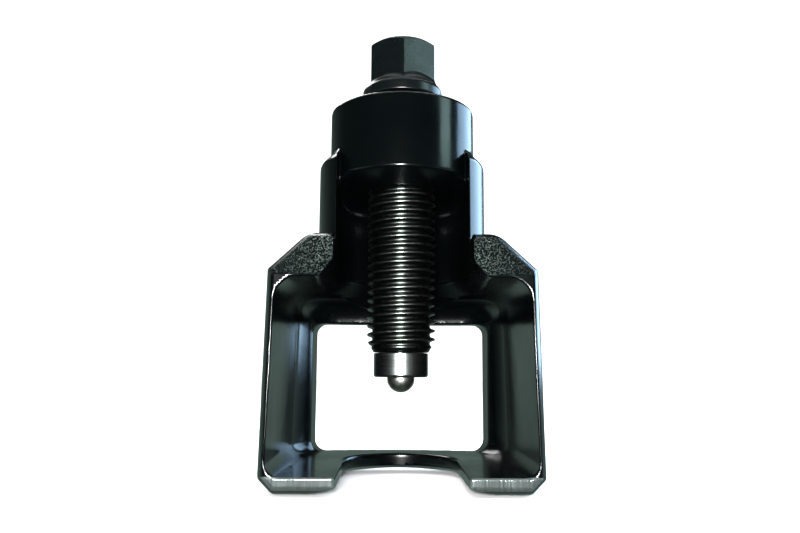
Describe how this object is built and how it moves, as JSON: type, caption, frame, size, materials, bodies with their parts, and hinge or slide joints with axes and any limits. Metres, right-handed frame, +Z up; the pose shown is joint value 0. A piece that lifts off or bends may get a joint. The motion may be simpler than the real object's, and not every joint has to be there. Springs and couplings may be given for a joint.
{
  "type": "ball joint separator",
  "caption": "Forged bell-shaped yoke with an open fork and a hex-headed forcing screw that presses a steel ball down onto a ball joint's stud.",
  "frame": {"origin": "centre of the footprint, on the plane the feet stand on", "axes": "+Z up along the forcing screw towards its hexagon, -Y out of the fork's mouth, +X to the right of someone facing the mouth"},
  "size_m": [0.0902, 0.075, 0.1557],
  "materials": {
    "black_forging": "glossy black oxide over a smooth forging, with a coarser forged grain on the two ears",
    "gunmetal_screw": "dark oiled thread with brighter crests, gloss black hexagon",
    "ground_steel": "finely turned, dark polished steel",
    "ball_steel": "satin bearing steel"
  },
  "bodies": {
    "yoke_body": {"yoke": "black_forging"},
    "ball_body": {"thrust_ball": "ball_steel"},
    "screw_body": {"forcing_screw": "gunmetal_screw", "ball_retainer": "ground_steel"}
  },
  "joints": [
    {"name": "screw_feed", "type": "slide", "parent": "yoke_body", "child": "ball_body", "axis": [0, 0, -1], "range_m": [-0.0501, 0.0046]},
    {"name": "screw_turn", "type": "hinge", "parent": "ball_body", "child": "screw_body", "pos_m": [0, 0.0045, 0], "axis": [0, 0, -1], "range_deg": [-6000, 540]}
  ],
  "couplings": [
    {"joint": "screw_feed", "follows": "screw_turn", "m_per_rad": 0.00047746}
  ]
}
